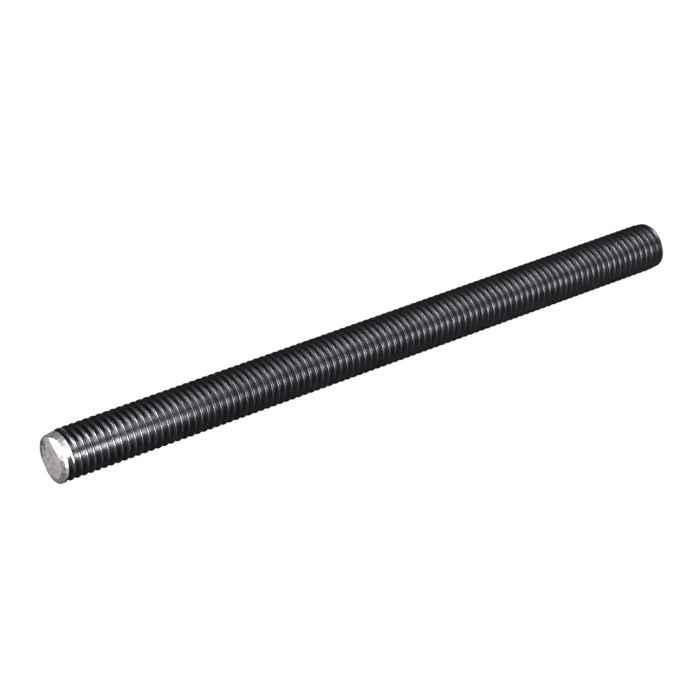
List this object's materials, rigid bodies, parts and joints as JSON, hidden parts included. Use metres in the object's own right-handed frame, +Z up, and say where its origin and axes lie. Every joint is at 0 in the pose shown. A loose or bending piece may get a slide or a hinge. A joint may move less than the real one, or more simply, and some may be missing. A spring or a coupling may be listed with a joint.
{
  "type": "threaded rod",
  "caption": "Straight black steel rod with a right-hand metric screw thread along its whole length, both ends sawn square and ground to a taper with a bevel.",
  "frame": {"origin": "middle of the near end's face, on the rod's axis", "axes": "+X along the rod's axis from the near end to the far end, +Z up as it lies"},
  "size_m": [0.175, 0.012, 0.012],
  "materials": {
    "black_steel": "plain black, lightly oiled, with bare sawn ends"
  },
  "bodies": {
    "root": {"threaded_rod": "black_steel"}
  },
  "joints": []
}
